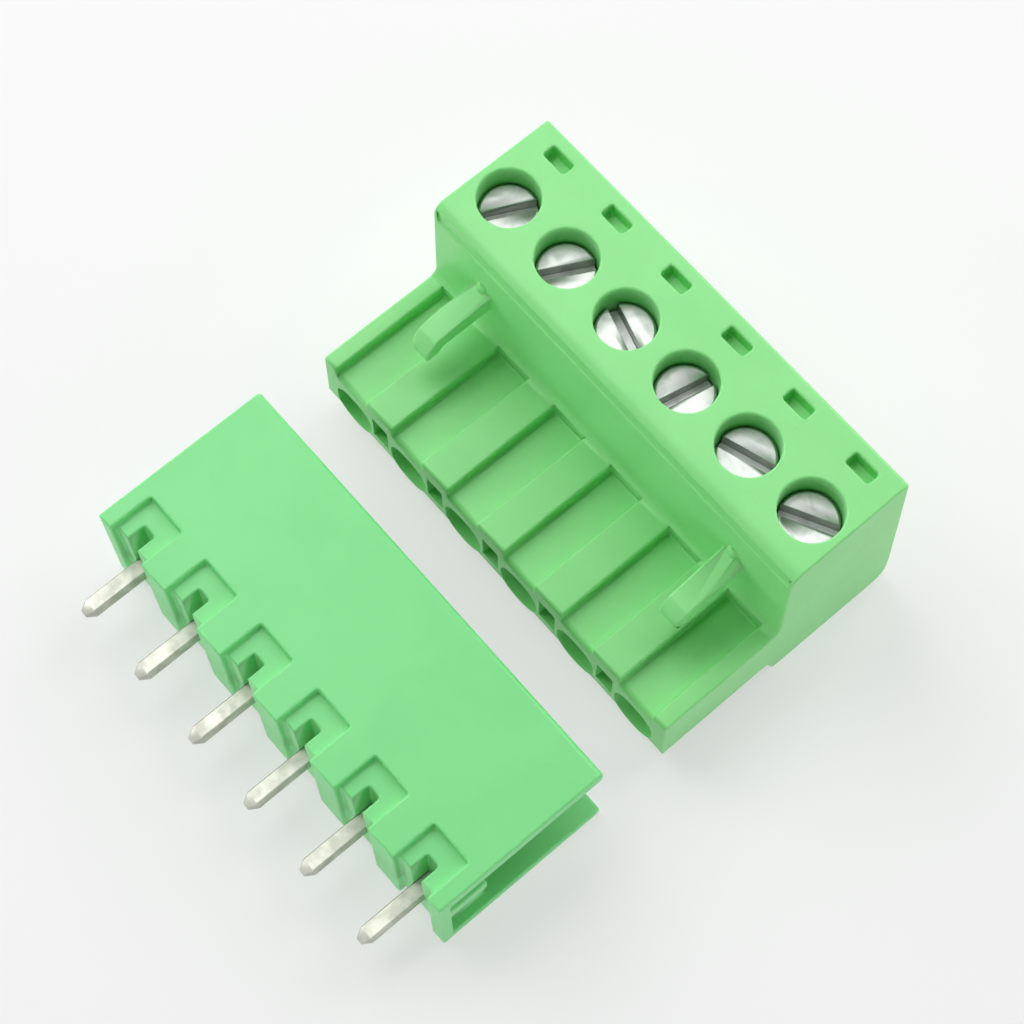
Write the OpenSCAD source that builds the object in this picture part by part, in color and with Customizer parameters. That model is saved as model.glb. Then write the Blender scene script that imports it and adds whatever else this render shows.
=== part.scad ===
// Pluggable terminal block: a screw-clamp plug beside the pin header that it pushes onto.
// Both lie on one floor. X runs along the row of poles, +Y from the header to the plug's
// wire side, +Z up. The origin is on the floor, under the middle of the pair.

/* [Row] */
// Number of poles in the row
poles = 6; // [4:1:12]
// Distance from one pole to the next
pitch = 5.08; // [4.9:0.01:7.62]
// Clear distance between the plug's nose and the header's mouth when unplugged
park_gap = 4.65; // [1:0.05:20]

/* [Header pins] */
// Side of the square pins
pin_w = 1; // [0.8:0.05:1.2]
// Corner break along each pin
pin_chamfer = 0.1; // [0.05:0.01:0.2]
// Height of the pin axes over the floor
pin_z = 3.9; // [3.7:0.05:4.6]
// Length of pin that stands out of the board side, its tip included
pin_out = 3.9; // [2.5:0.1:6]
// Length of the taper at each pin end
pin_taper = 0.6; // [0.3:0.05:1]
// Distance from the header's mouth back to the inner pin ends
pin_setback = 1.5; // [0.5:0.1:3]
// Gap around a pin in its hole through the header's base
pin_fit = 0.01; // [0.005:0.005:0.03]

/* [Header housing] */
// Thickness of the base that holds the pins
header_base_t = 3.4; // [2.8:0.1:5]
// Thickness of the wall over the cavity
header_top_t = 1.15; // [0.8:0.05:1.6]
// Thickness of the wall under the cavity
header_bottom_t = 0.8; // [0.6:0.05:1.2]
// Radius on the outer edges of the mouth
mouth_edge_r = 0.35; // [0.1:0.05:0.38]
// Width of the relief at each pole on the board side
relief_w = 2.9; // [2.2:0.05:3.6]
// Length of the relief along the top and the bottom face
relief_len = 3; // [2:0.1:3.3]
// Depth of the relief in the top and the bottom face
relief_depth = 0.5; // [0.3:0.05:0.7]
// Depth of the relief in the board face
board_relief = 0.45; // [0.2:0.05:0.6]
// Width of the slot that opens over each pin
pin_slot_w = 0.9; // [0.6:0.05:1.5]
// Length of the slot that opens over each pin
pin_slot_len = 1.25; // [0.8:0.05:2]
// Depth of the end recess where one header stacks against the next
stack_depth = 0.6; // [0.3:0.05:0.9]
// Lip left on the board side of the end recess
stack_lip = 0.8; // [0.7:0.1:1.2]
// Height of the stacking tongue
tongue_h = 1.2; // [0.8:0.1:1.6]
// Height of the tongue's middle over the pin axes
tongue_rise = 1.7; // [1.2:0.1:2.2]

/* [Plug body] */
// Height of the plug
body_h = 15; // [14:0.1:20]
// Distance from the screw axes back to the widest part of the wire side
body_rear = 5.75; // [5.2:0.05:8]
// How far the wire side leans in towards the top
rear_lean = 0.65; // [0.1:0.05:1]
// Distance from the screw axes forward to the front wall
body_front = 3.65; // [3.3:0.05:5]
// How far the top slab steps back from the front wall
ledge_d = 0.15; // [0.1:0.05:0.6]
// Height of the top slab over its step
ledge_h = 1.4; // [0.5:0.1:2]
// Rounding along the front edge of the top slab
ledge_r = 0.4; // [0.1:0.05:0.5]
// Width of the plain cheek at each end of the step
cheek_w = 0.3; // [0.2:0.05:0.6]
// How far each end lies inside the row at the top
end_inset = 0.1; // [0:0.02:0.2]
// How far each end swells past the row at the bottom
end_swell = 0.12; // [0:0.02:0.2]
// Length of the nose in front of the front wall
nose_len = 8.8; // [7.5:0.1:11]
// Radius of the round barrel under each pole of the nose
barrel_r = 2.1; // [1.8:0.05:2.4]
// How far the barrels stand below the flat underside of the nose
barrel_drop = 0.7; // [0.3:0.05:0.9]
// Width of the ribs on the nose
rib_w = 2.36; // [1.6:0.02:2.8]
// Height of the ribs over the floors between them
rib_h = 0.84; // [0.4:0.02:1.2]
// Thickness of the end walls beside the outer floors
end_rib_w = 1.07; // [0.6:0.01:1.6]
// Thickness of the roof between a floor and the contact below
roof_t = 0.63; // [0.4:0.01:1]
// Distance from the front wall to the back of the floors between the ribs
floor_setback = 0.4; // [0.1:0.05:1]
// Bevel along the front top edges of the nose
nose_bevel = 0.28; // [0.1:0.02:0.4]
// Fillet between the nose and the front wall
wall_fillet = 0.7; // [0.3:0.05:1]

/* [Plug openings] */
// Width of the pin socket in the nose
socket_w = 3.2; // [2.9:0.05:3.5]
// Thickness of the barrel wall under the pin socket
socket_wall = 0.45; // [0.3:0.05:0.7]
// Thickness of the front wall that the pin socket goes through
socket_t = 0.8; // [0.5:0.05:1.2]
// Width of the coding slots between the poles
coding_w = 1.4; // [0.8:0.05:1.5]
// Height of the coding slots
coding_h = 2.4; // [1.5:0.1:2.6]
// Depth of the coding slots
coding_depth = 3; // [1.5:0.1:5]
// Width of the wire throat
throat_w = 3; // [2.4:0.05:3.1]
// Width of the wire funnel at the wire side
funnel_w = 4; // [3.6:0.05:4.4]
// Height of the wire funnel at the wire side
funnel_h = 3.8; // [3.2:0.05:4.2]
// Length of the straight throat behind the clamp
throat_len = 0.8; // [0.4:0.1:1.5]
// Width of the test slots in the top
test_w = 1.8; // [1.2:0.05:2.6]
// Length of the test slots across the row
test_len = 0.88; // [0.6:0.02:1.1]
// Depth of the test slots
test_depth = 2.2; // [1:0.1:3]
// Distance from the screw axes to the middle of the test slots
test_y = 3.8; // [3.5:0.02:4.2]

/* [Latch arms] */
// Length of the arms in front of the front wall
arm_len = 4.9; // [3:0.1:6.5]
// Height of the arms where they leave the wall
arm_root_h = 1.9; // [1.2:0.1:2.6]
// Thickness of the arms
arm_t = 1.55; // [1:0.05:2]
// Width of the slope along the arms' outer top edge
arm_slope = 0.65; // [0.2:0.05:0.8]
// How far the arms' top falls from the wall to the nose, as a share of the length
arm_fall = 0.2; // [0:0.02:0.3]
// Radius of the round boss at each arm's root
boss_r = 0.35; // [0.2:0.05:0.4]
// Distance from an arm's inner face to the middle of its boss
boss_x = 0.65; // [0.45:0.05:0.9]
// Height of the hook's front face
hook_face_h = 0.65; // [0.3:0.05:1]
// Gap between the hooks and the header's top face
hook_gap = 0.15; // [0.05:0.05:0.4]
// How far the hooks reach below the arms
hook_drop = 0.45; // [0.2:0.05:0.7]

/* [Contacts] */
// Thickness of the contact bar
bar_t = 0.6; // [0.4:0.05:0.8]
// Width of the contact bar
bar_w = 2.4; // [1.8:0.05:2.6]
// Thickness of the contact springs
spring_t = 0.45; // [0.3:0.05:0.6]
// Height of the contact springs below the bar
spring_h = 1.95; // [1.4:0.05:2.1]
// Gap between a spring and the pin at the pinch
pinch_gap = 0.05; // [0.01:0.01:0.1]
// How far the spring tips flare outwards
spring_flare = 0.4; // [0.2:0.05:0.6]

/* [Wire clamps] */
// Thickness of the clamp's side walls
clamp_side_t = 0.52; // [0.4:0.02:0.6]
// Length of the clamp along the wire
clamp_d = 4.2; // [3.4:0.1:4.6]
// Thickness of the threaded block at the top
nut_t = 2.2; // [1.6:0.1:2.6]
// Thickness of the clamp's floor
clamp_floor_t = 0.75; // [0.5:0.05:1]
// Room for the wire below the contact bar with the clamp open
wire_space = 2.7; // [2.2:0.05:2.8]
// How far the clamp rises
clamp_lift = 2.25; // [1.5:0.05:2.5]
// Gap between the clamp's sides and its chamber
clamp_gap = 0.05; // [0.03:0.01:0.1]

/* [Screws] */
// Thread diameter
thread_d = 3; // [2.5:0.1:3.2]
// Head diameter
head_d = 3.64; // [3.4:0.02:4]
// Head height
head_h = 2.1; // [1.4:0.1:2.4]
// Width of the driver slot
slot_w = 0.7; // [0.5:0.05:1]
// Depth of the driver slot
slot_depth = 0.9; // [0.5:0.05:1.2]
// Gap around the head in its bore
head_gap = 0.08; // [0.03:0.01:0.1]
// Thickness of the shoulder under the head
shoulder_t = 1.4; // [0.8:0.1:1.8]

/* [Hidden] */
$fn = 44;
over = 1;               // how far a cut runs past the face that it opens
arc_steps = 6;          // flats in a rounded corner
small_gap = 0.05;       // flat faces that seat on each other
half_row = poles * pitch / 2;

// Way each driver slot was left pointing, in degrees from the row
slot_turn = [63, 62, -16.5, 78.5, 17.7, 27.5];

// Stack of the contact, the clamp and the screw, from the pin upwards
bar_z0 = pin_z + pin_w / 2 + small_gap;
bar_z1 = bar_z0 + bar_t;
screw_tip_z = bar_z1 + small_gap;
clamp_window_z1 = bar_z1 + 0.15;
clamp_window_z0 = bar_z0 - wire_space;
clamp_z0 = clamp_window_z0 - clamp_floor_t;
clamp_z1 = clamp_window_z1 + nut_t;
clamp_window_w = thread_d + 0.16;
clamp_w = clamp_window_w + 2 * clamp_side_t;
clamp_end_gap = 0.1;
chamber_w = clamp_w + 2 * clamp_gap;
chamber_d = clamp_d + 2 * clamp_end_gap;
chamber_z0 = clamp_z0 - 0.1;
chamber_z1 = clamp_z1 + clamp_lift + 0.25;
head_seat_z = chamber_z1 + shoulder_t;
head_z0 = head_seat_z + small_gap;
head_z1 = head_z0 + head_h;
head_bore_d = head_d + 2 * head_gap;
shank_bore_d = thread_d + 2 * head_gap;

// Contact springs and the tunnel that holds them
pinch_x = pin_w / 2 + pinch_gap;
spring_root_x = bar_w / 2 - spring_t;
spring_z0 = bar_z0 - spring_h;
tunnel_w = 2 * (pinch_x + spring_flare + spring_t + small_gap);
tunnel_z0 = spring_z0 - 0.3;
tunnel_z1 = bar_z1 + small_gap;

// Heights of the nose and of the header around it
nose_bottom_gap = 0.2;
nose_top_gap = 0.78;
barrel_z = header_bottom_t + nose_bottom_gap + barrel_r;
nose_z0 = header_bottom_t + nose_bottom_gap + barrel_drop;
floor_z = tunnel_z1 + roof_t;
nose_z1 = floor_z + rib_h;
cavity_z1 = nose_z1 + nose_top_gap;
header_h = cavity_z1 + header_top_t;

// Places along Y, measured from the screw axes and from the header's mouth
plugged_gap = 0.5;      // header's mouth to the plug's front wall when plugged in
nose_y = -body_front - nose_len;
cavity_d = nose_len - plugged_gap + 0.2;
header_d = cavity_d + header_base_t;
total_y = pin_out + header_d + park_gap + nose_len + body_front + body_rear;
header_y = pin_out - total_y / 2;
mouth_y = header_y + header_d;
screw_y = total_y / 2 - body_rear;

function pole_x(i) = (i - (poles + 1) / 2) * pitch;
function unit(v) = v / norm(v);
function swing(a) = a > 180 ? a - 360 : a < -180 ? a + 360 : a;

// Points of one corner b between a and c, rounded to radius r
function corner(a, b, c, r) =
    let (u = unit(a - b), v = unit(c - b), half = acos(u * v) / 2)
    let (mid = b + unit(u + v) * r / sin(half), s = b + u * r / tan(half) - mid)
    let (e = b + v * r / tan(half) - mid, start = atan2(s[1], s[0]))
    let (turn = swing(atan2(e[1], e[0]) - start))
    [for (i = [0:arc_steps]) mid + r * [cos(start + turn * i / arc_steps), sin(start + turn * i / arc_steps)]];

// Outline from corners given as [x, y, radius]
function outline(p) = let (n = len(p)) [
    for (i = [0:n - 1])
        let (a = p[(i + n - 1) % n], b = p[i], c = p[(i + 1) % n])
        each b[2] > 0 ? corner([a[0], a[1]], [b[0], b[1]], [c[0], c[1]], b[2]) : [[b[0], b[1]]]
];

// Rectangle from x0, y0 to x1, y1 with its corners rounded to r
function pane(x0, y0, x1, y1, r = 0) = outline([[x0, y0, r], [x1, y0, r], [x1, y1, r], [x0, y1, r]]);

// Section in the Y-Z plane drawn out along X
module along_x(x0, x1) {
    translate([x0, 0, 0]) rotate([90, 0, 90]) linear_extrude(x1 - x0) children();
}

// Section in the X-Z plane drawn out along Y
module along_y(y0, y1) {
    translate([0, y1, 0]) rotate([90, 0, 0]) linear_extrude(y1 - y0) children();
}

// Box between two corners
module block(a, b) {
    translate(a) cube(b - a);
}

// Children once at every pole
module each_pole() {
    for (i = [1:poles]) translate([pole_x(i), 0, 0]) children();
}

// ---- Header ----

// Section of the header's channel: base, wall over and wall under the cavity
module header_section() {
    deep = mouth_y - cavity_d;
    polygon(outline([
        [header_y, 0, 0.15], [mouth_y, 0, mouth_edge_r], [mouth_y, header_bottom_t, mouth_edge_r],
        [deep, header_bottom_t, 0.3], [deep, cavity_z1, 0.3],
        [mouth_y, cavity_z1, mouth_edge_r], [mouth_y, header_h, mouth_edge_r], [header_y, header_h, 0.15],
    ]));
}

// Relief at one pole, round three sides of the base, with the slot down to the pin
module pole_relief() {
    half = relief_w / 2;
    front = header_y + relief_len;
    for (z = [-over, header_h - relief_depth])
        block([-half, header_y - over, z], [half, front, z + over + relief_depth]);
    block([-half, header_y - over, -over], [half, header_y + board_relief, header_h + over]);
    block([-pin_slot_w / 2, header_y, pin_z], [pin_slot_w / 2, header_y + board_relief + pin_slot_len, header_h]);
}

// Square hole through the base for one pin
module pin_hole() {
    half = pin_w / 2 + pin_fit;
    block([-half, header_y - over, pin_z - half], [half, mouth_y - cavity_d + over, pin_z + half]);
}

// Recess in the +X or -X end of the base, where the next header stacks on
module stack_recess() {
    block([half_row - stack_depth, header_y + stack_lip, header_bottom_t],
        [half_row + over, mouth_y - cavity_d + over, cavity_z1]);
}

// Tongue in the +X recess, rounded at its free end
module stack_tongue() {
    y1 = header_y + header_base_t;
    z = pin_z + tongue_rise;
    along_x(half_row - stack_depth - small_gap, half_row)
        polygon(pane(header_y + stack_lip / 2, z - tongue_h / 2, y1, z + tongue_h / 2, 0.35));
}

module header_housing() {
    color([0.30, 0.69, 0.31]) difference() {
        union() {
            difference() {
                along_x(-half_row, half_row) header_section();
                stack_recess();
                mirror([1, 0, 0]) stack_recess();
            }
            stack_tongue();
        }
        each_pole() {
            pole_relief();
            pin_hole();
        }
    }
}

// Square pin with broken corners and tapered ends
module header_pin(i) {
    half = pin_w / 2;
    y0 = header_y - pin_out;
    y1 = mouth_y - pin_setback;
    tip = half - pin_w * 0.3;
    side = [[-half, y0 + pin_taper], [-tip, y0], [tip, y0], [half, y0 + pin_taper],
        [half, y1 - pin_taper], [tip, y1], [-tip, y1], [-half, y1 - pin_taper]];
    color([0.86, 0.87, 0.84]) translate([pole_x(i), 0, pin_z]) intersection() {
        translate([0, 0, -half]) linear_extrude(pin_w) polygon(side);
        along_x(-half, half) polygon([for (p = side) [p[1], p[0]]]);
        along_y(y0, y1) polygon([
            [half, half - pin_chamfer], [half - pin_chamfer, half], [pin_chamfer - half, half],
            [-half, half - pin_chamfer], [-half, pin_chamfer - half], [pin_chamfer - half, -half],
            [half - pin_chamfer, -half], [half, pin_chamfer - half],
        ]);
    }
}

// ---- Plug, drawn with the screw axes at Y = 0 ----

// Section of the plug along the whole row, without its openings
module plug_section() {
    top_rear = body_rear - rear_lean;
    polygon(outline([
        [nose_y, nose_z0, 0.25], [-body_front - 0.5, nose_z0, 0.5], [0.15 - body_front, 0, 0.3],
        [body_rear, 0, 1.15], [body_rear, 3, 1.5], [top_rear, body_h, 0.25],
        [-body_front, body_h, 0.9], [-body_front - 0.07, nose_z1, wall_fillet], [nose_y, nose_z1, nose_bevel],
    ]));
}

// Drafted outline of the plug seen along Y
module plug_front_outline() {
    top = half_row - end_inset;
    bottom = half_row + end_swell;
    polygon([[-bottom, 0], [bottom, 0], [top, body_h], [-top, body_h]]);
}

// Round barrel below one pole of the nose, bevelled at the front
module barrel() {
    bevel = 0.3;
    translate([0, 1 - body_front, barrel_z]) rotate([90, 0, 0]) rotate_extrude() polygon([
        [0, 0], [barrel_r, 0], [barrel_r, nose_len + 1 - bevel], [barrel_r - bevel, nose_len + 1], [0, nose_len + 1],
    ]);
}

// Floor between two ribs, from x0 to x1, open at the nose's front
module rib_floor(x0, x1) {
    back = -body_front - floor_setback;
    z1 = nose_z1 + wall_fillet / 2;
    along_x(x0, x1) polygon(outline([
        [nose_y - over, floor_z - nose_bevel - over, 0], [nose_y + nose_bevel, floor_z, 0],
        [back - 0.05, floor_z, 0.15], [back, z1, 0], [nose_y - over, z1, 0],
    ]));
}

module rib_floors() {
    for (i = [1:poles]) {
        left = i == 1 ? end_rib_w : rib_w / 2;
        right = i == poles ? end_rib_w : rib_w / 2;
        rib_floor(pole_x(i) - pitch / 2 + left, pole_x(i) + pitch / 2 - right);
    }
}

// Step in front of the top slab, between the end cheeks
module top_ledge() {
    half = half_row - end_inset - cheek_w;
    face = ledge_d - body_front;
    z0 = body_h - ledge_h;
    along_x(-half, half) difference() {
        translate([-body_front - over, z0]) square([over + ledge_d + ledge_r, ledge_h + over]);
        polygon(pane(face, z0 - over, 0, body_h, ledge_r));
    }
}

// Pin socket, contact tunnel, clamp chamber and screw bore of one pole
module pole_cavity() {
    socket_top = pin_z + 0.7;
    socket_bottom = header_bottom_t + nose_bottom_gap + socket_wall;
    socket_r = min(1.3, (socket_top - socket_bottom) / 2 - 0.05, socket_w / 2 - 0.05);
    along_y(nose_y - over, nose_y + socket_t)
        polygon(pane(-socket_w / 2, socket_bottom, socket_w / 2, socket_top, socket_r));
    block([-tunnel_w / 2, nose_y + socket_t - small_gap, tunnel_z0], [tunnel_w / 2, 0, tunnel_z1]);
    block([-chamber_w / 2, -chamber_d / 2, chamber_z0], [chamber_w / 2, chamber_d / 2, chamber_z1]);
    translate([0, 0, head_seat_z]) cylinder(d = head_bore_d, h = body_h - head_seat_z + over);
    translate([0, 0, chamber_z1 - over]) cylinder(d = shank_bore_d, h = shoulder_t + 2 * over);
}

// Wire throat and funnel of one pole, square and widening to the wire side
module wire_funnel() {
    z0 = clamp_window_z0 + 0.1;
    z1 = bar_z0 - 0.1;
    middle = (z0 + z1) / 2;
    y0 = chamber_d / 2 + throat_len;
    reach = (body_rear + over - y0) / (body_rear - y0);
    half_w = throat_w / 2 + (funnel_w - throat_w) / 2 * reach;
    half_h = (z1 - z0) / 2 + (funnel_h - (z1 - z0)) / 2 * reach;
    intersection() {
        linear_extrude(body_h) polygon([[-throat_w / 2, 0], [throat_w / 2, 0], [throat_w / 2, y0],
            [half_w, body_rear + over], [-half_w, body_rear + over], [-throat_w / 2, y0]]);
        along_x(-pitch, pitch) polygon([[0, z0], [y0, z0], [body_rear + over, middle - half_h],
            [body_rear + over, middle + half_h], [y0, z1], [0, z1]]);
    }
}

// Slot in the top for a test probe
module test_slot() {
    block([-test_w / 2, test_y - test_len / 2, body_h - test_depth],
        [test_w / 2, test_y + test_len / 2, body_h + over]);
}

// Slot for a coding key between two poles of the nose
module coding_slot() {
    block([-coding_w / 2, nose_y - over, tunnel_z1 - coding_h], [coding_w / 2, nose_y + coding_depth, tunnel_z1]);
}

// Latch arm at the +X end, standing out over the header
module latch_arm() {
    x0 = half_row - pitch;
    x1 = x0 + arm_t;
    z0 = header_h + hook_gap;
    root_z0 = z0 + hook_drop;
    root_z1 = root_z0 + arm_root_h;
    wall = ledge_d - body_front;
    tip = -body_front - arm_len;
    face = z0 + hook_face_h;
    shoulder_z = root_z1 - arm_len * arm_fall;
    intersection() {
        along_x(x0, x1) polygon([
            [wall, root_z0], [wall, root_z1], [-body_front, root_z1], [tip + 0.7, max(shoulder_z, face + 0.1)],
            [tip + 0.05, face], [tip, z0], [tip + 0.9, z0], [tip + 1.3, root_z0],
        ]);
        along_y(tip, wall) polygon([[x0, z0], [x1, z0], [x1, root_z1 - arm_slope], [x1 - arm_slope, root_z1],
            [x0, root_z1]]);
        linear_extrude(body_h) polygon(outline([[x0, tip, 0], [x1, tip, 0.45], [x1, wall, 0], [x0, wall, 0]]));
    }
}

// Round boss on the wall, where the +X arm's top meets it
module arm_boss() {
    z0 = header_h + hook_gap + hook_drop + arm_root_h;
    translate([half_row - pitch + boss_x, -body_front, z0 - 0.4]) {
        cylinder(r = boss_r, h = 0.8, $fn = 24);
        translate([0, 0, 0.8]) cylinder(r1 = boss_r, r2 = boss_r / 2, h = 0.18, $fn = 24);
    }
}

module plug_housing() {
    color([0.33, 0.72, 0.34]) translate([0, screw_y, 0]) {
        difference() {
            intersection() {
                union() {
                    along_x(-half_row - end_swell, half_row + end_swell) plug_section();
                    each_pole() barrel();
                }
                along_y(nose_y, body_rear) plug_front_outline();
            }
            rib_floors();
            top_ledge();
            each_pole() {
                pole_cavity();
                wire_funnel();
                test_slot();
            }
            for (i = [1:poles - 1]) translate([pole_x(i) + pitch / 2, 0, 0]) coding_slot();
        }
        for (m = [0, 1]) mirror([m, 0, 0]) {
            latch_arm();
            arm_boss();
        }
    }
}

// Contact of one pole: a bar through the clamp, with two springs that pinch the pin
module spring_contact(i) {
    pinch_y = nose_y + 2.25;
    tip_y = nose_y + socket_t + 0.1;
    root_y = -body_front - 1;
    side = [[pinch_x + spring_flare, tip_y], [pinch_x, pinch_y - 0.2], [pinch_x, pinch_y + 0.2],
        [spring_root_x, root_y - 1], [spring_root_x, root_y]];
    spring = concat(side, [for (k = [len(side) - 1:-1:0]) side[k] + [spring_t, 0]]);
    color([0.82, 0.82, 0.78]) translate([pole_x(i), screw_y, 0]) {
        block([-bar_w / 2, root_y - 1.6, bar_z0], [bar_w / 2, chamber_d / 2 - 0.1, bar_z1]);
        for (m = [0, 1]) mirror([m, 0, 0]) {
            translate([0, 0, spring_z0]) linear_extrude(spring_h - 0.15) polygon(spring);
            block([spring_root_x, root_y - 1.6, spring_z0], [spring_root_x + spring_t, root_y, bar_z0]);
        }
    }
}

// Rising clamp of one pole: a bent steel frame with a threaded block and a ribbed floor
module wire_clamp(i) {
    color([0.72, 0.73, 0.72]) translate([pole_x(i), screw_y, 0]) difference() {
        along_y(-clamp_d / 2, clamp_d / 2) difference() {
            polygon(pane(-clamp_w / 2, clamp_z0, clamp_w / 2, clamp_z1, 0.4));
            polygon(pane(-clamp_window_w / 2, clamp_window_z0, clamp_window_w / 2, clamp_window_z1, 0.2));
        }
        translate([0, 0, clamp_window_z1 - over]) cylinder(d = thread_d + 0.1, h = nut_t + 2 * over);
        for (y = [-1.2:0.8:1.2]) translate([0, y, 0]) along_x(-clamp_window_w / 2 + 0.3, clamp_window_w / 2 - 0.3)
            polygon([[-0.2, clamp_window_z0 + 0.01], [0, clamp_window_z0 - 0.18], [0.2, clamp_window_z0 + 0.01]]);
    }
}

// Slotted clamp screw of one pole
module clamp_screw(i) {
    head_r = head_d / 2;
    thread_r = thread_d / 2;
    edge = 0.14;
    color([0.83, 0.85, 0.83]) translate([pole_x(i), screw_y, 0]) difference() {
        rotate_extrude() polygon([
            [0, screw_tip_z], [thread_r - 0.35, screw_tip_z], [thread_r, screw_tip_z + 0.35],
            [thread_r, head_z0], [head_r, head_z0], [head_r, head_z1 - edge], [head_r - edge, head_z1], [0, head_z1],
        ]);
        rotate([0, 0, slot_turn[(i - 1) % len(slot_turn)]])
            block([-head_d, -slot_w / 2, head_z1 - slot_depth], [head_d, slot_w / 2, head_z1 + over]);
    }
}

header_housing();
plug_housing();
for (i = [1:poles]) {
    header_pin(i);
    spring_contact(i);
    wire_clamp(i);
    clamp_screw(i);
}
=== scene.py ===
from math import cos, pi, radians, sin

import bmesh
import bpy
from mathutils import Matrix, Vector, geometry


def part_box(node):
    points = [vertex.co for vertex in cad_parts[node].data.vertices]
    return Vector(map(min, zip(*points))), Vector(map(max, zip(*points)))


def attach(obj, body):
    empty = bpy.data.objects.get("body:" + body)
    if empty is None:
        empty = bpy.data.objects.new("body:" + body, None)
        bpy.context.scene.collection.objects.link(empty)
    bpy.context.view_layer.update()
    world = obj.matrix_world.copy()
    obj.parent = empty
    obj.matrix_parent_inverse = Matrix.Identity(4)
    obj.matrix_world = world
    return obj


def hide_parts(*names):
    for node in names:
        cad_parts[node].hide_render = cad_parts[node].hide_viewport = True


# Pluggable terminal block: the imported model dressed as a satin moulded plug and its
# pin header, seen from above and in front of the solder pins. All lengths are metres.

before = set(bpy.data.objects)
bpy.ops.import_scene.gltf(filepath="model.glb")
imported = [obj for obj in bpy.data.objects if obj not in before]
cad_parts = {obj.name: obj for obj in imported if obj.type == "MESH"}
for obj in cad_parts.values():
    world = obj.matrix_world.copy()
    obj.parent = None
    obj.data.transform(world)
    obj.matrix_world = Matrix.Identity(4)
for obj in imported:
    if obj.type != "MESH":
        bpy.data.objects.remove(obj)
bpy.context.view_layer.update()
scene = bpy.context.scene


# ---- Camera ----
# A long lens high over the header's side of the pair, turned a little so that the row
# runs from the upper left to the lower right.
CAMERA_AZIMUTH = 50.12
CAMERA_ELEVATION = 68.92
CAMERA_ROLL = -0.84
CAMERA_DISTANCE = 0.1347
CAMERA_TARGET = Vector((0.0021, 0.0011, 0.015))
CAMERA_LENS = 86.69

azimuth, elevation = radians(CAMERA_AZIMUTH), radians(CAMERA_ELEVATION)
look = Vector((-sin(azimuth) * cos(elevation), cos(azimuth) * cos(elevation), -sin(elevation)))
camera = bpy.data.objects.new("camera", bpy.data.cameras.new("camera"))
camera.data.lens = CAMERA_LENS
camera.data.sensor_width = 36
camera.data.clip_start = 0.005
camera.data.clip_end = 20
aim = look.to_track_quat("-Z", "Y").to_matrix().to_4x4()
roll = Matrix.Rotation(radians(CAMERA_ROLL), 4, "Z")
camera.matrix_world = Matrix.Translation(CAMERA_TARGET - look * CAMERA_DISTANCE) @ aim @ roll
scene.collection.objects.link(camera)
scene.camera = camera


# ---- Plug housing ----
# The moulded body of the plug, with softly rounded edges except in the boxes below, and
# with its test slots shallower than the solid's. The green polyamide is satin, with a
# fine moulded grain, faint flow shading and a few specks.
EDGE_RADIUS = 0.00014
# Points closer than WELD are one point, faces that meet at less than FLAT are one face,
# and an edge where the surface turns by more than SHARP is rounded.
WELD = 2e-6
FLAT = radians(0.5)
SHARP = radians(28)
# A rounding takes up to this share of the way to an edge that is rounded too, or to one
# that isn't. One with less than LEAST_FIT of its full width is left out.
SHARED_ROOM = 0.42
FREE_ROOM = 0.85
LEAST_FIT = 0.25
# An edge further on along the same line doesn't limit a rounding: the gap to it runs along
# the line by more than MOST_ALONG, or the edge itself leaves it by less than LEAST_ACROSS.
MOST_ALONG = 0.5
LEAST_ACROSS = 0.4
# Boxes, by two corners each, round small features whose edges stay hard.
ARM_BOSSES = ((-0.016, 0.0095, 0.01085), (0.016, 0.00995, 0.0117))
NOSE_SOCKETS = ((-0.016, 0.0010, -0.001), (0.016, 0.0016, 0.0052))
TUNNELS = ((-0.0149, 0.0010, 0.0005), (0.0149, 0.0200, 0.0052))
CHAMBERS = ((-0.0149, 0.0102, 0.0005), (0.0149, 0.0180, 0.0120))
# The test slots lie behind the screws, and their floors are raised above the solid's.
FIRST_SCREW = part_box("clamp_screw_1")
SCREW_Y = (FIRST_SCREW[0][1] + FIRST_SCREW[1][1]) / 2
TEST_SLOT_ROW = SCREW_Y + 0.003
TEST_SLOT_FLOOR = 0.0128
TEST_SLOT_LIFT = 0.0012
GREEN = (0.262, 0.775, 0.262, 1.0)
GREEN_DARK = (0.240, 0.740, 0.242, 1.0)
SATIN_ROUGHNESS = (0.36, 0.46)
PLASTIC_IOR = 1.53
FLOW_SIZE = 0.006
GRAIN_SIZE, GRAIN_DEPTH = 0.00022, 0.00003
SPECK_SIZE, SPECK_DEPTH = 0.0007, 0.00002
GLOW_THROUGH = 0.12
GLOW_SPREAD = (0.4, 1.0, 0.4)
GLOW_DEPTH = 0.0006


class Socket:
    """One output in a material, so that a pattern's maths reads as arithmetic."""

    def __init__(self, tree, out):
        self.tree, self.out = tree, out

    def math(self, operation, other=0.0):
        return add_node(self.tree, "ShaderNodeMath", {0: self, 1: other}, operation=operation)

    def __add__(self, other):
        return self.math("ADD", other)

    def __sub__(self, other):
        return self.math("SUBTRACT", other)

    def __mul__(self, other):
        return self.math("MULTIPLY", other)

    __radd__ = __add__
    __rmul__ = __mul__

    def __rsub__(self, other):
        return self * -1.0 + other

    def ramp(self, low, high, to_low=0.0, to_high=1.0):
        """This value's range from low to high, spread smoothly over to_low to to_high."""
        values = {"Value": self, "From Min": low, "From Max": high,
                  "To Min": to_low, "To Max": to_high}
        return add_node(self.tree, "ShaderNodeMapRange", values, interpolation_type="SMOOTHSTEP")


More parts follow.
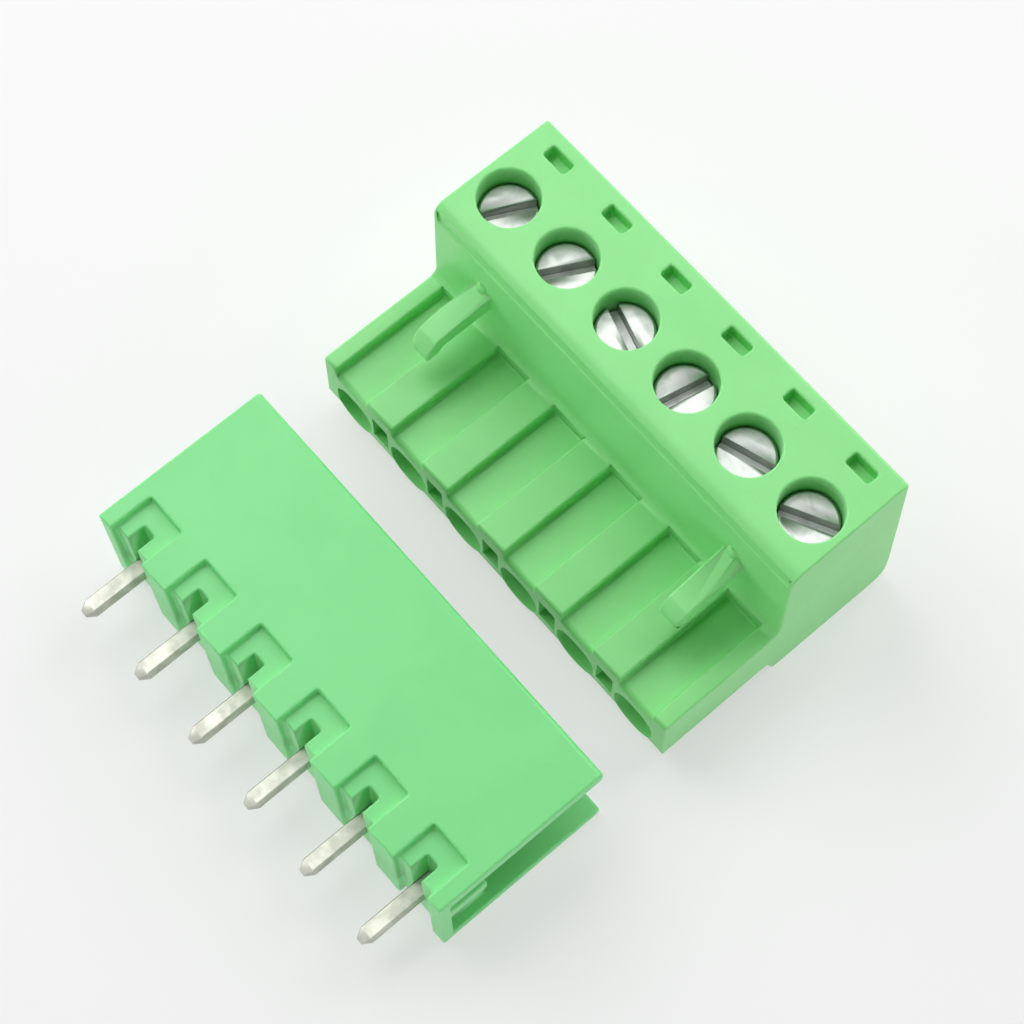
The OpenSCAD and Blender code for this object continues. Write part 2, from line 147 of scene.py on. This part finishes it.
def add_node(tree, kind, inputs, output=0, **settings):
    """A new node with its settings and inputs, which are Sockets or plain values."""
    node = tree.nodes.new(kind)
    for key, value in settings.items():
        setattr(node, key, value)
    for key, value in inputs.items():
        if isinstance(value, Socket):
            tree.links.new(value.out, node.inputs[key])
        else:
            node.inputs[key].default_value = value
    return Socket(tree, node.outputs[output])


def new_material(name):
    """A material, its shader, and its object coordinates in metres."""
    material = bpy.data.materials.new(name)
    material.use_nodes = True
    tree = material.node_tree
    coords = add_node(tree, "ShaderNodeTexCoord", {}, output="Object")
    return material, tree.nodes["Principled BSDF"], coords


def noise(coords, size, detail=2.0, roughness=0.5, distortion=0.0):
    """Noise from 0 to 1 with blotches of about that size in metres."""
    values = {"Vector": coords, "Scale": 1 / size, "Detail": detail,
              "Roughness": roughness, "Distortion": distortion}
    return add_node(coords.tree, "ShaderNodeTexNoise", values)


def mix(amount, first, second):
    """The colour between first and second. The node has sockets for every kind of value,
    and these are the ones for colours."""
    values = {0: amount, 6: first, 7: second}
    return add_node(amount.tree, "ShaderNodeMix", values, output=2, data_type="RGBA")


def connect(shader, **links):
    """Sockets into the shader's inputs, named with underscores for spaces."""
    for key, value in links.items():
        value.tree.links.new(value.out, shader.inputs[key.replace("_", " ")])


def bump(height, strength, depth, under=None):
    """Normal of a surface that rises by depth where height is 1, on top of another bump."""
    values = {"Height": height, "Strength": strength, "Distance": depth}
    if under:
        values["Normal"] = under
    return add_node(height.tree, "ShaderNodeBump", values)


def room_beside(edge, rounded, hard):
    """How wide a rounding fits on the edge before it meets another one on the same face.
    Hard edges at its ends don't count."""
    line = (edge.verts[1].co - edge.verts[0].co).normalized()
    room = []
    for face in edge.link_faces:
        reach = [v.co - edge.verts[0].co for v in face.verts]
        room.append(SHARED_ROOM * max((r - line * line.dot(r)).length for r in reach))
        for other in face.edges:
            if set(other.verts) & set(edge.verts):
                continue
            share = SHARED_ROOM if other in rounded else FREE_ROOM
            for point, span in [(v, edge) for v in other.verts] + [(v, other) for v in edge.verts]:
                first, last = (v.co for v in span.verts)
                along = geometry.intersect_point_line(point.co, first, last)[1]
                gap = point.co - first.lerp(last, min(1.0, max(0.0, along)))
                if abs(line.dot(gap)) < MOST_ALONG * gap.length:
                    room.append(share * gap.length)
    for corner in edge.link_loops:
        for other in (corner.link_loop_prev.edge, corner.link_loop_next.edge):
            share = SHARED_ROOM if other in rounded else FREE_ROOM
            way = other.verts[1].co - other.verts[0].co
            across = (way - line * line.dot(way)).length
            if across > LEAST_ACROSS * way.length and other not in hard:
                room.append(share * across)
    return min(room)


def soft_piece(node, name, body, radius, hard_boxes=()):
    """A CAD node's solid with its sharp edges rounded, which stands for that node. Edges
    inside the hard boxes stay as they are."""
    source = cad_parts[node]
    mesh = bpy.data.meshes.new(name)
    shape = bmesh.new()
    shape.from_mesh(source.data)
    shape.transform(source.matrix_world)
    bmesh.ops.remove_doubles(shape, verts=shape.verts, dist=WELD)
    bmesh.ops.dissolve_limit(shape, angle_limit=FLAT, verts=shape.verts, edges=shape.edges)
    weights = shape.edges.layers.float.new("bevel_weight_edge")
    sharp = {edge for edge in shape.edges
             if len(edge.link_faces) == 2 and edge.calc_face_angle(0) > SHARP}
    hard = {edge for edge in sharp for low, high in hard_boxes
            if all(low[i] < v.co[i] < high[i] for v in edge.verts for i in range(3))}
    rounded = sharp - hard
    for edge in sharp:
        fit = min(1.0, room_beside(edge, rounded, hard) / radius) if edge in rounded else 0.0
        edge.smooth = fit > LEAST_FIT
        edge[weights] = fit if edge.smooth else 0.0
    for face in shape.faces:
        face.smooth = True
    shape.to_mesh(mesh)
    shape.free()
    piece = bpy.data.objects.new(name, mesh)
    scene.collection.objects.link(piece)
    bevel = piece.modifiers.new("soft_edges", "BEVEL")
    bevel.limit_method = "WEIGHT"
    bevel.width = radius
    bevel.segments = 2
    bevel.use_clamp_overlap = False
    bevel.miter_outer = "MITER_ARC"
    shading = piece.modifiers.new("flat_faces", "WEIGHTED_NORMAL")
    shading.keep_sharp = True
    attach(piece, body)
    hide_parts(node)
    return piece


def moulded(name, light, dark):
    """Satin polyamide between two shades, with a fine moulded grain."""
    material, shader, coords = new_material(name)
    flow = noise(coords, FLOW_SIZE, detail=3.0, distortion=0.6)
    grain = noise(coords, GRAIN_SIZE, detail=3.0, roughness=0.6)
    specks = noise(coords, SPECK_SIZE, detail=1.0).ramp(0.78, 0.82)
    connect(
        shader,
        Base_Color=mix(flow.ramp(0.3, 0.7), dark, light),
        Roughness=grain.ramp(0.2, 0.8, *SATIN_ROUGHNESS),
        Normal=bump(specks, 0.25, SPECK_DEPTH, bump(grain, 0.2, GRAIN_DEPTH)),
    )
    shader.inputs["IOR"].default_value = PLASTIC_IOR
    shader.inputs["Subsurface Weight"].default_value = GLOW_THROUGH
    shader.inputs["Subsurface Radius"].default_value = GLOW_SPREAD
    shader.inputs["Subsurface Scale"].default_value = GLOW_DEPTH
    return material


plug = soft_piece("plug_housing", "plug_shell", "plug", EDGE_RADIUS,
                  (ARM_BOSSES, NOSE_SOCKETS, TUNNELS, CHAMBERS))
plug.data.materials.append(moulded("plug_green", GREEN, GREEN_DARK))
for vertex in plug.data.vertices:
    if vertex.co.y > TEST_SLOT_ROW and abs(vertex.co.z - TEST_SLOT_FLOOR) < 10 * WELD:
        vertex.co.z += TEST_SLOT_LIFT


# ---- Header housing ----
# The open channel that is soldered to the board and takes the plug. It is moulded in the
# same plastic as the plug, in a slightly bluer shade.
HEADER_GREEN = (0.212, 0.760, 0.262, 1.0)
HEADER_GREEN_DARK = (0.196, 0.730, 0.246, 1.0)

header = soft_piece("header_housing", "header_shell", "header", EDGE_RADIUS)
header.data.materials.append(moulded("header_green", HEADER_GREEN, HEADER_GREEN_DARK))


# ---- Header pins ----
# Square pins of drawn wire, pressed through the header's wall and tinned. The drawing
# leaves faint lines along them, and the tin is cloudy.
POLES = sum(name.startswith("clamp_screw_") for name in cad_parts)
PIN_EDGE = 0.00004
TIN = (0.56, 0.565, 0.50, 1.0)
TIN_DULL = (0.46, 0.46, 0.41, 1.0)
TIN_ROUGHNESS = (0.50, 0.62)
TIN_CLOUD = 0.0008
DRAWN_LINE = 0.00008
LINE_DEPTH = 0.00001


def new_metal(name):
    """A material of metal, with its shader and coordinates."""
    material, shader, coords = new_material(name)
    shader.inputs["Metallic"].default_value = 1.0
    return material, shader, coords


def stretched(coords, scale, turn=0.0):
    """The coordinates scaled along each axis, then turned about the vertical one. A small
    scale draws a pattern out into lines along its axis."""
    values = {"Vector": coords, "Rotation": (0, 0, turn), "Scale": scale}
    return add_node(coords.tree, "ShaderNodeMapping", values)


tin, shader, coords = new_metal("tinned_pin")
lines = noise(stretched(coords, (1.0, 0.04, 1.0)), DRAWN_LINE, detail=2.0)
cloud = noise(coords, TIN_CLOUD, detail=4.0)
connect(
    shader,
    Base_Color=mix(cloud.ramp(0.35, 0.7), TIN, TIN_DULL),
    Roughness=cloud.ramp(0.3, 0.7, *TIN_ROUGHNESS),
    Normal=bump(lines, 0.25, LINE_DEPTH),
)
for i in range(1, POLES + 1):
    pin = soft_piece(f"header_pin_{i}", f"tin_pin_{i}", "header", PIN_EDGE)
    pin.data.materials.append(tin)


# ---- Spring contacts ----
# Contacts stamped from sheet and tin-plated, inside the plug, one for each pin. They keep
# the lengthwise brushing of the sheet.
SHEET_ROUGHNESS = (0.28, 0.40)
SHEET_CLOUD = 0.001
SHEET_LINE = 0.0001


def coat(node, material):
    """A CAD node's own solid with this material in place of its plain one."""
    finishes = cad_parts[node].data.materials
    finishes.clear()
    finishes.append(material)


contact_tin, shader, coords = new_metal("tinned_contact")
lines = noise(stretched(coords, (1.0, 0.05, 1.0)), SHEET_LINE, detail=2.0)
connect(
    shader,
    Base_Color=mix(noise(coords, SHEET_CLOUD, detail=3.0), TIN, TIN_DULL),
    Roughness=lines.ramp(0.3, 0.7, *SHEET_ROUGHNESS),
    Normal=bump(lines, 0.2, LINE_DEPTH),
)
for i in range(1, POLES + 1):
    coat(f"spring_contact_{i}", contact_tin)


# ---- Wire clamps ----
# Clamps of bent steel sheet round each wire hole, which the screws lift. Their dull zinc
# plate is streaked up and down, the way they slide.
ZINC_DULL = (0.56, 0.57, 0.57, 1.0)
ZINC_STREAK = (0.40, 0.41, 0.42, 1.0)
CLAMP_ROUGHNESS = (0.32, 0.48)
STREAK = 0.00015

clamp_zinc, shader, coords = new_metal("clamp_steel")
streaks = noise(stretched(coords, (1.0, 1.0, 0.06)), STREAK, detail=3.0)
connect(
    shader,
    Base_Color=mix(streaks.ramp(0.35, 0.75), ZINC_DULL, ZINC_STREAK),
    Roughness=streaks.ramp(0.3, 0.7, *CLAMP_ROUGHNESS),
    Normal=bump(streaks, 0.2, LINE_DEPTH),
)
for i in range(1, POLES + 1):
    coat(f"wire_clamp_{i}", clamp_zinc)


# ---- Clamp screws ----
# Slotted steel screws, turned on a lathe and zinc-plated: fine rings round each axis,
# cloudy patches, and long scratches from the driver.
LAST_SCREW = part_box(f"clamp_screw_{POLES}")
PITCH = (LAST_SCREW[0][0] - FIRST_SCREW[0][0]) / (POLES - 1)
FIRST_X = (FIRST_SCREW[0][0] + FIRST_SCREW[1][0]) / 2
SCREW_EDGE = 0.00007
ZINC = (0.48, 0.50, 0.48, 1.0)
ZINC_GREY = (0.38, 0.40, 0.38, 1.0)
SCREW_ROUGHNESS = (0.40, 0.52)
ZINC_CLOUD = 0.0011
RING, RING_DEPTH = 0.00012, 0.000006
SCRATCH, SCRATCH_DEPTH = 0.00012, 0.000012

zinc, shader, coords = new_metal("screw_steel")
along_row, across_row = (
    add_node(coords.tree, "ShaderNodeSeparateXYZ", {0: coords}, output=axis)
    for axis in ("X", "Y"))
from_pole = (along_row - (FIRST_X - PITCH / 2)).math("FLOORED_MODULO", PITCH) - PITCH / 2
from_row = across_row - SCREW_Y
radius = (from_pole * from_pole + from_row * from_row).math("SQRT")
rings = (radius * (2 * pi / RING)).math("SINE")
cloud = noise(coords, ZINC_CLOUD, detail=4.0, distortion=0.8)
scratches = noise(stretched(coords, (0.06, 1.0, 1.0), turn=0.9), SCRATCH, detail=2.0)
connect(
    shader,
    Base_Color=mix(cloud.ramp(0.45, 0.75), ZINC, ZINC_GREY),
    Roughness=cloud.ramp(0.3, 0.7, *SCREW_ROUGHNESS),
    Normal=bump(scratches.ramp(0.55, 0.75), 0.35, SCRATCH_DEPTH, bump(rings, 0.05, RING_DEPTH)),
)
for i in range(1, POLES + 1):
    screw = soft_piece(
        f"clamp_screw_{i}", f"zinc_screw_{i}", f"screw_{i}", SCREW_EDGE)
    screw.data.materials.append(zinc)


# ---- Floor ----
# A plain white sweep. To the camera and to glossy rays it shows as nearly white, the more
# so far away where the lamps don't reach, and it keeps the soft shadow of the pair.
FLOOR_SIZE = 3.0
FLOOR_PAPER = (0.80, 0.80, 0.80, 1.0)
FLOOR_SEEN = (0.42, 0.42, 0.42, 1.0)
FLOOR_MATT = 0.9
FLOOR_SHINE = 0.1
# How strongly the floor glows when seen, up to NEAR and from FAR away.
FLOOR_NEAR, FLOOR_GLOW = 0.08, 0.53
FLOOR_FAR, FLOOR_GLOW_FAR = 0.60, 0.76


def seen_in(tree):
    """1 for camera rays and for reflected and refracted ones, and 0 for the light itself."""
    camera_ray, glossy_ray, clear_ray = (
        add_node(tree, "ShaderNodeLightPath", {}, output=name)
        for name in ("Is Camera Ray", "Is Glossy Ray", "Is Transmission Ray"))
    return camera_ray.math("MAXIMUM", glossy_ray).math("MAXIMUM", clear_ray)


bpy.ops.mesh.primitive_plane_add(size=FLOOR_SIZE)
floor = bpy.context.object
floor.name = "floor"
paper, shader, coords = new_material("floor")
shader.inputs["Roughness"].default_value = FLOOR_MATT
shader.inputs["Specular IOR Level"].default_value = FLOOR_SHINE
seen = seen_in(coords.tree)
connect(shader, Base_Color=mix(seen, FLOOR_PAPER, FLOOR_SEEN))
away = add_node(coords.tree, "ShaderNodeVectorMath", {0: coords},
                output="Value", operation="LENGTH")
strength = seen * away.ramp(FLOOR_NEAR, FLOOR_FAR, FLOOR_GLOW, FLOOR_GLOW_FAR)
glow = add_node(coords.tree, "ShaderNodeEmission", {"Strength": strength})
both = coords.tree.nodes.new("ShaderNodeAddShader")
coords.tree.links.new(shader.outputs[0], both.inputs[0])
coords.tree.links.new(glow.out, both.inputs[1])
coords.tree.links.new(both.outputs[0], coords.tree.nodes["Material Output"].inputs["Surface"])
floor.data.materials.append(paper)


# ---- Light ----
# Soft studio light: a broad key over the far end of the row, a second one behind the plug,
# and a white room that lights only from near the floor. The camera and reflections see the
# room as even.
ROOM_SEEN = 0.90
# The room's light below the first height and above the second, on a sphere of radius 1.
ROOM_LOW_EDGE, ROOM_LOW = 0.05, 2.70
ROOM_HIGH_EDGE, ROOM_HIGH = 0.40, 0.02
KEY_AWAY = 0.36
# Each key's watts, its width, and its turn from behind the plug and its rise in degrees.
KEYS = {"key_side": (1.04, 0.34, 92, 52), "key_back": (0.57, 0.24, 0, 44)}
LIGHT_AT = Vector((0.0, 0.0, 0.008))

world = bpy.data.worlds.new("room")
world.use_nodes = True
scene.world = world
background = world.node_tree.nodes["Background"]
seen = seen_in(world.node_tree)
way = add_node(world.node_tree, "ShaderNodeTexCoord", {}, output="Generated")
height = add_node(world.node_tree, "ShaderNodeSeparateXYZ", {0: way}, output="Z")
lit = height.ramp(ROOM_LOW_EDGE, ROOM_HIGH_EDGE, ROOM_LOW, ROOM_HIGH)
strength = seen * (ROOM_SEEN - lit) + lit
world.node_tree.links.new(strength.out, background.inputs["Strength"])
background.inputs["Color"].default_value = (1.0, 1.0, 1.0, 1.0)

for name, (watts, size, turn, rise) in KEYS.items():
    turn, rise = radians(turn), radians(rise)
    key_way = Vector((-sin(turn) * cos(rise), cos(turn) * cos(rise), sin(rise)))
    lamp = bpy.data.lights.new(name, "AREA")
    lamp.energy = watts
    lamp.size = size
    key = bpy.data.objects.new(name, lamp)
    key.location = LIGHT_AT + key_way * KEY_AWAY
    key.rotation_euler = (-key_way).to_track_quat("-Z", "Y").to_euler()
    scene.collection.objects.link(key)

scene.view_settings.view_transform = "Standard"
